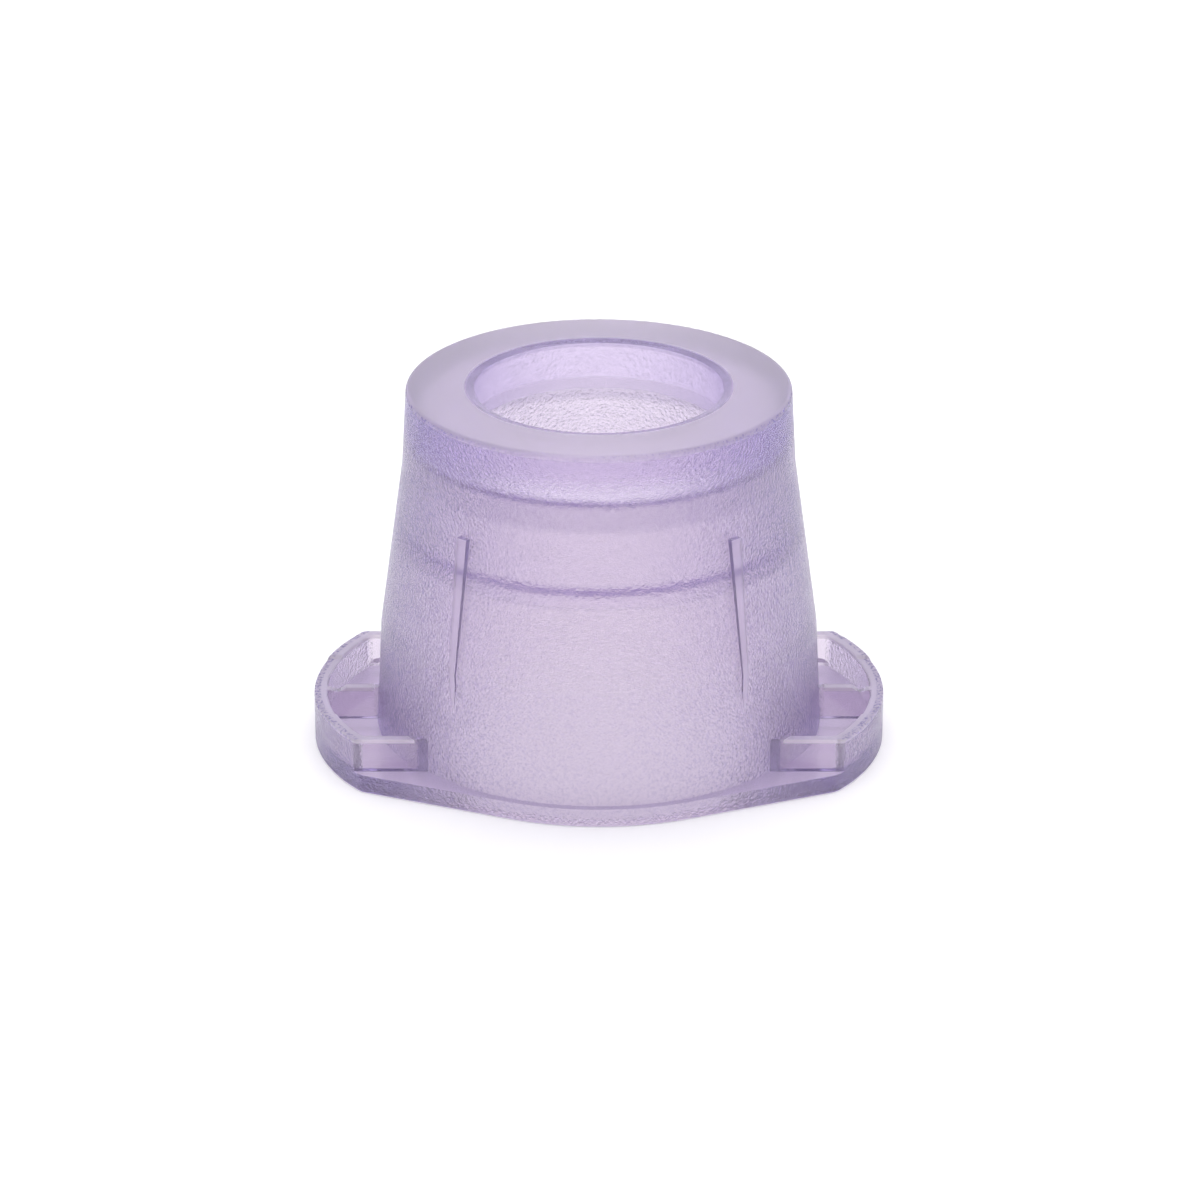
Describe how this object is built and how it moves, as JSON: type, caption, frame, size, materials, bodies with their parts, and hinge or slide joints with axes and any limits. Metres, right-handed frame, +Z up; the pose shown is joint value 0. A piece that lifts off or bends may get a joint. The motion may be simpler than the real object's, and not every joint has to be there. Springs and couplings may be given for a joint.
{
  "type": "flanged tapered adapter",
  "caption": "Hollow translucent tapered collar with a round bore in its thick top ring, open underneath, on a thin flange whose two walled ears lie either side.",
  "frame": {"origin": "centre of the flat underside of the flange, on the bore's axis", "axes": "+Z up the bore's axis towards the top ring, +X towards one ear, +Y across the ears"},
  "size_m": [0.0302, 0.0236, 0.0198],
  "materials": {
    "frosted_plastic": "translucent lavender plastic, finely spark-grained outside, polished in the bore and the ear pockets"
  },
  "bodies": {
    "root": {"adapter_body": "frosted_plastic"}
  },
  "joints": []
}
